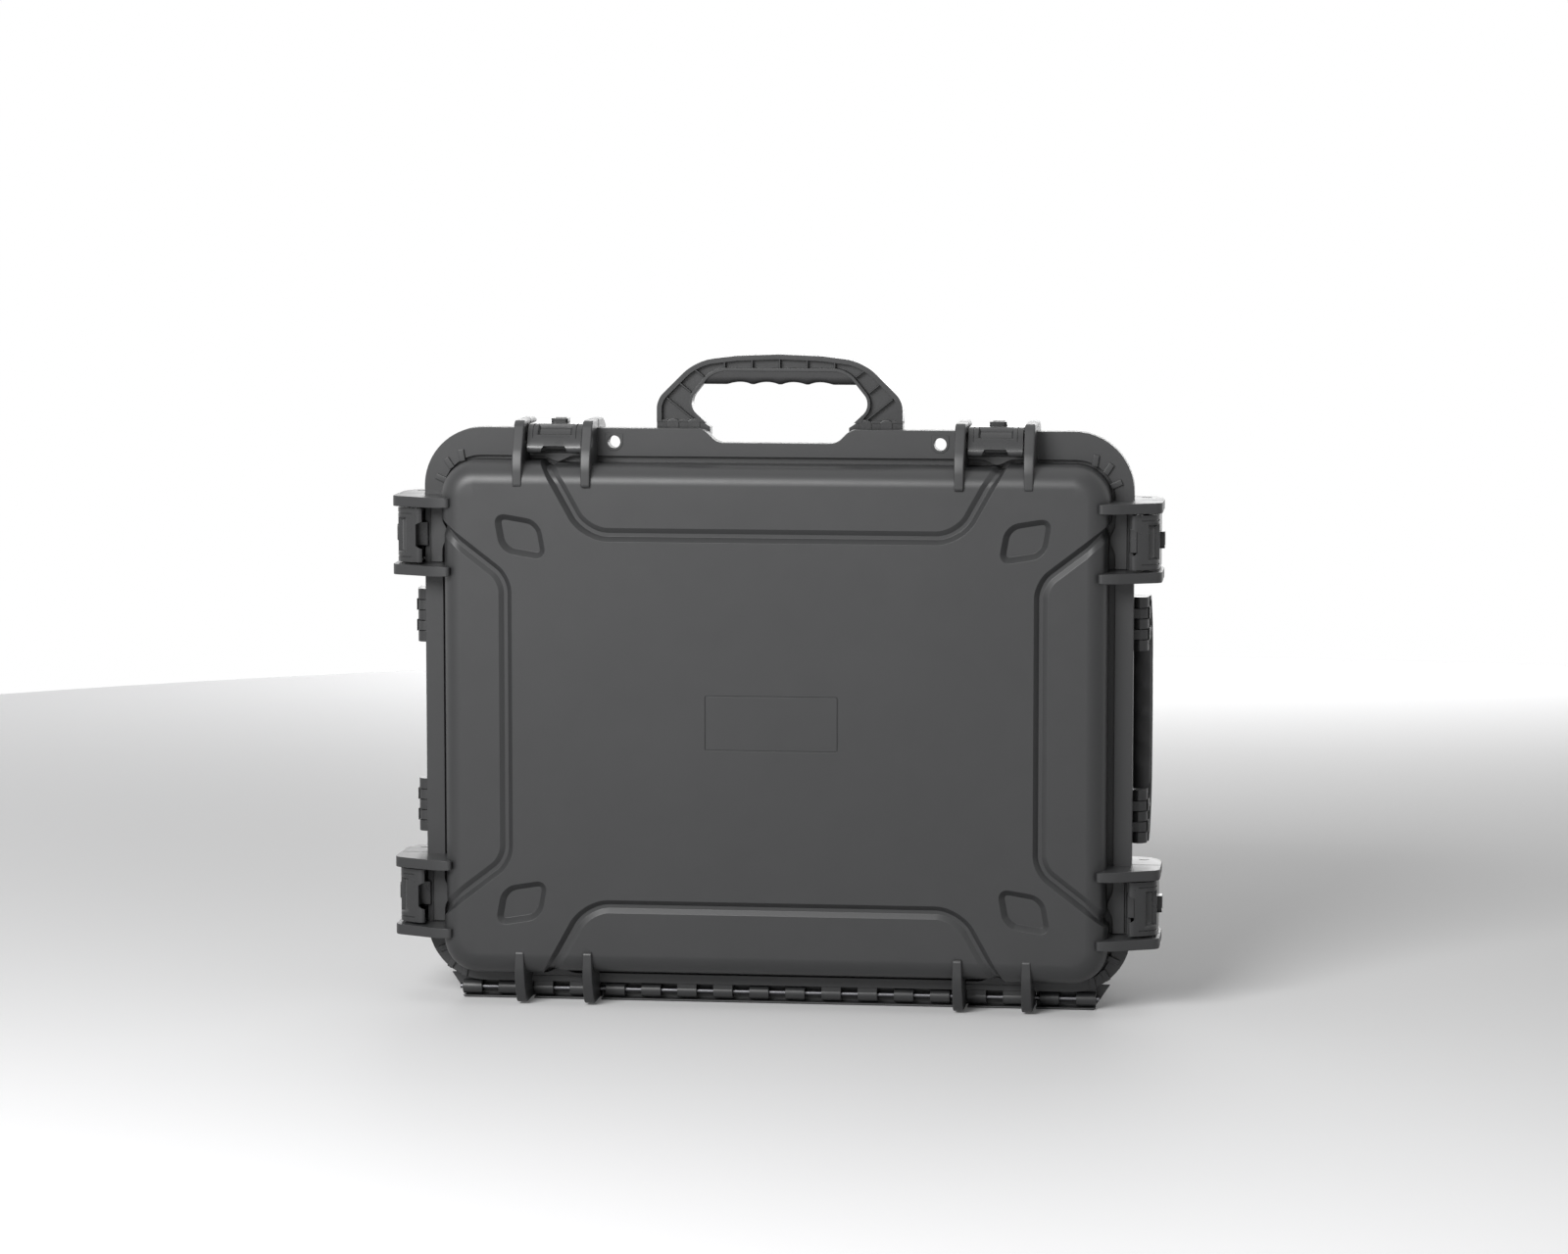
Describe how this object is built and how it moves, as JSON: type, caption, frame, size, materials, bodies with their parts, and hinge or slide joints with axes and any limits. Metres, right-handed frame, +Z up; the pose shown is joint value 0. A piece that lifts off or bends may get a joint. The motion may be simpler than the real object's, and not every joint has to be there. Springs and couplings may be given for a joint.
{
  "type": "laptop hard case",
  "caption": "Moulded hard case for a laptop, standing on its hinge side, with a latched lid, ribbed folding handles, sealing ring and foam lining.",
  "frame": {"origin": "middle of the footprint, on the floor that the case stands on", "axes": "+X along the hinge, +Y from the lid to the base's back, +Z up to the handle side"},
  "size_m": [0.5856, 0.183, 0.4957],
  "materials": {
    "shell_plastic": "satin, fine moulded texture",
    "latch_plastic": "satin",
    "button_plastic": "satin",
    "handle_plastic": "satin",
    "grip_rubber": "matt",
    "seal_rubber": "matt",
    "steel": "brushed",
    "foam": "open-cell foam, matt",
    "valve_plastic": "satin",
    "membrane": "matt"
  },
  "bodies": {
    "base": {"base_ears": "shell_plastic", "base_feet": "shell_plastic", "base_foam": "foam", "base_pad": "foam", "base_rim": "shell_plastic", "base_shell": "shell_plastic", "gasket": "seal_rubber", "handle_brackets": "shell_plastic", "handle_pins": "steel", "hinge_rod": "steel", "latch_pivot_pins": "steel", "valve_body": "valve_plastic", "valve_membrane": "membrane", "valve_nut": "valve_plastic"},
    "lid": {"lid_catches": "shell_plastic", "lid_ears": "shell_plastic", "lid_foam": "foam", "lid_rim": "shell_plastic", "lid_shell": "shell_plastic"},
    "handle_left": {"handle_left_frame": "handle_plastic", "handle_left_grip": "grip_rubber"},
    "handle_right": {"handle_right_frame": "handle_plastic", "handle_right_grip": "grip_rubber"},
    "handle_top": {"handle_top_frame": "handle_plastic", "handle_top_grip": "grip_rubber"},
    "latch_left_lower_button": {"latch_left_lower_button": "button_plastic"},
    "latch_left_lower_claw": {"latch_left_lower_claw": "latch_plastic"},
    "latch_left_lower_lever": {"latch_left_lower_claw_pin": "steel", "latch_left_lower_lever": "latch_plastic", "latch_left_lower_spring": "steel"},
    "latch_left_upper_button": {"latch_left_upper_button": "button_plastic"},
    "latch_left_upper_claw": {"latch_left_upper_claw": "latch_plastic"},
    "latch_left_upper_lever": {"latch_left_upper_claw_pin": "steel", "latch_left_upper_lever": "latch_plastic", "latch_left_upper_spring": "steel"},
    "latch_right_lower_button": {"latch_right_lower_button": "button_plastic"},
    "latch_right_lower_claw": {"latch_right_lower_claw": "latch_plastic"},
    "latch_right_lower_lever": {"latch_right_lower_claw_pin": "steel", "latch_right_lower_lever": "latch_plastic", "latch_right_lower_spring": "steel"},
    "latch_right_upper_button": {"latch_right_upper_button": "button_plastic"},
    "latch_right_upper_claw": {"latch_right_upper_claw": "latch_plastic"},
    "latch_right_upper_lever": {"latch_right_upper_claw_pin": "steel", "latch_right_upper_lever": "latch_plastic", "latch_right_upper_spring": "steel"},
    "latch_top_left_button": {"latch_top_left_button": "button_plastic"},
    "latch_top_left_claw": {"latch_top_left_claw": "latch_plastic"},
    "latch_top_left_lever": {"latch_top_left_claw_pin": "steel", "latch_top_left_lever": "latch_plastic", "latch_top_left_spring": "steel"},
    "latch_top_right_button": {"latch_top_right_button": "button_plastic"},
    "latch_top_right_claw": {"latch_top_right_claw": "latch_plastic"},
    "latch_top_right_lever": {"latch_top_right_claw_pin": "steel", "latch_top_right_lever": "latch_plastic", "latch_top_right_spring": "steel"}
  },
  "joints": [
    {"name": "lid_hinge", "type": "hinge", "parent": "base", "child": "lid", "pos_m": [0, -0.0495, 0.008], "axis": [1, 0, 0], "range_deg": [0, 100]},
    {"name": "latch_top_left_pull", "type": "hinge", "parent": "base", "child": "latch_top_left_lever", "pos_m": [-0.167, -0.0215, 0.434], "axis": [-1, 0, 0], "range_deg": [0, 80]},
    {"name": "latch_top_left_press", "type": "slide", "parent": "latch_top_left_lever", "child": "latch_top_left_button", "axis": [0, 0, -1], "range_m": [0, 0.0025], "stiffness_N_per_m": 500, "springref_m": -0.002},
    {"name": "latch_top_left_release", "type": "hinge", "parent": "latch_top_left_lever", "child": "latch_top_left_claw", "pos_m": [-0.167, -0.058, 0.438], "axis": [-1, 0, 0], "range_deg": [0, 10]},
    {"name": "latch_top_right_pull", "type": "hinge", "parent": "base", "child": "latch_top_right_lever", "pos_m": [0.167, -0.0215, 0.434], "axis": [-1, 0, 0], "range_deg": [0, 80]},
    {"name": "latch_top_right_press", "type": "slide", "parent": "latch_top_right_lever", "child": "latch_top_right_button", "axis": [0, 0, -1], "range_m": [0, 0.0025], "stiffness_N_per_m": 500, "springref_m": -0.002},
    {"name": "latch_top_right_release", "type": "hinge", "parent": "latch_top_right_lever", "child": "latch_top_right_claw", "pos_m": [0.167, -0.058, 0.438], "axis": [-1, 0, 0], "range_deg": [0, 10]},
    {"name": "latch_left_upper_pull", "type": "hinge", "parent": "base", "child": "latch_left_upper_lever", "pos_m": [-0.278, -0.0215, 0.3585], "axis": [0, 0, -1], "range_deg": [0, 80]},
    {"name": "latch_left_upper_press", "type": "slide", "parent": "latch_left_upper_lever", "child": "latch_left_upper_button", "axis": [1, 0, 0], "range_m": [0, 0.0025], "stiffness_N_per_m": 500, "springref_m": -0.002},
    {"name": "latch_left_upper_release", "type": "hinge", "parent": "latch_left_upper_lever", "child": "latch_left_upper_claw", "pos_m": [-0.282, -0.058, 0.3585], "axis": [0, 0, -1], "range_deg": [0, 10]},
    {"name": "latch_right_upper_pull", "type": "hinge", "parent": "base", "child": "latch_right_upper_lever", "pos_m": [0.278, -0.0215, 0.3585], "axis": [0, 0, 1], "range_deg": [0, 80]},
    {"name": "latch_right_upper_press", "type": "slide", "parent": "latch_right_upper_lever", "child": "latch_right_upper_button", "axis": [-1, 0, 0], "range_m": [0, 0.0025], "stiffness_N_per_m": 500, "springref_m": -0.002},
    {"name": "latch_right_upper_release", "type": "hinge", "parent": "latch_right_upper_lever", "child": "latch_right_upper_claw", "pos_m": [0.282, -0.058, 0.3585], "axis": [0, 0, 1], "range_deg": [0, 10]},
    {"name": "latch_left_lower_pull", "type": "hinge", "parent": "base", "child": "latch_left_lower_lever", "pos_m": [-0.278, -0.0215, 0.0815], "axis": [0, 0, -1], "range_deg": [0, 80]},
    {"name": "latch_left_lower_press", "type": "slide", "parent": "latch_left_lower_lever", "child": "latch_left_lower_button", "axis": [1, 0, 0], "range_m": [0, 0.0025], "stiffness_N_per_m": 500, "springref_m": -0.002},
    {"name": "latch_left_lower_release", "type": "hinge", "parent": "latch_left_lower_lever", "child": "latch_left_lower_claw", "pos_m": [-0.282, -0.058, 0.0815], "axis": [0, 0, -1], "range_deg": [0, 10]},
    {"name": "latch_right_lower_pull", "type": "hinge", "parent": "base", "child": "latch_right_lower_lever", "pos_m": [0.278, -0.0215, 0.0815], "axis": [0, 0, 1], "range_deg": [0, 80]},
    {"name": "latch_right_lower_press", "type": "slide", "parent": "latch_right_lower_lever", "child": "latch_right_lower_button", "axis": [-1, 0, 0], "range_m": [0, 0.0025], "stiffness_N_per_m": 500, "springref_m": -0.002},
    {"name": "latch_right_lower_release", "type": "hinge", "parent": "latch_right_lower_lever", "child": "latch_right_lower_claw", "pos_m": [0.282, -0.058, 0.0815], "axis": [0, 0, 1], "range_deg": [0, 10]},
    {"name": "handle_top_fold", "type": "hinge", "parent": "base", "child": "handle_top", "pos_m": [0, -0.0305, 0.4365], "axis": [-1, 0, 0], "range_deg": [0, 90]},
    {"name": "handle_left_lift", "type": "hinge", "parent": "base", "child": "handle_left", "pos_m": [-0.274, -0.0305, 0.22], "axis": [0, 0, 1], "range_deg": [0, 90]},
    {"name": "handle_right_lift", "type": "hinge", "parent": "base", "child": "handle_right", "pos_m": [0.274, -0.0305, 0.22], "axis": [0, 0, -1], "range_deg": [0, 90]}
  ],
  "couplings": [
    {"joint": "latch_top_left_release", "follows": "latch_top_left_press", "rad_per_m": 69.813},
    {"joint": "latch_top_right_release", "follows": "latch_top_right_press", "rad_per_m": 69.813},
    {"joint": "latch_left_upper_release", "follows": "latch_left_upper_press", "rad_per_m": 69.813},
    {"joint": "latch_right_upper_release", "follows": "latch_right_upper_press", "rad_per_m": 69.813},
    {"joint": "latch_left_lower_release", "follows": "latch_left_lower_press", "rad_per_m": 69.813},
    {"joint": "latch_right_lower_release", "follows": "latch_right_lower_press", "rad_per_m": 69.813}
  ]
}
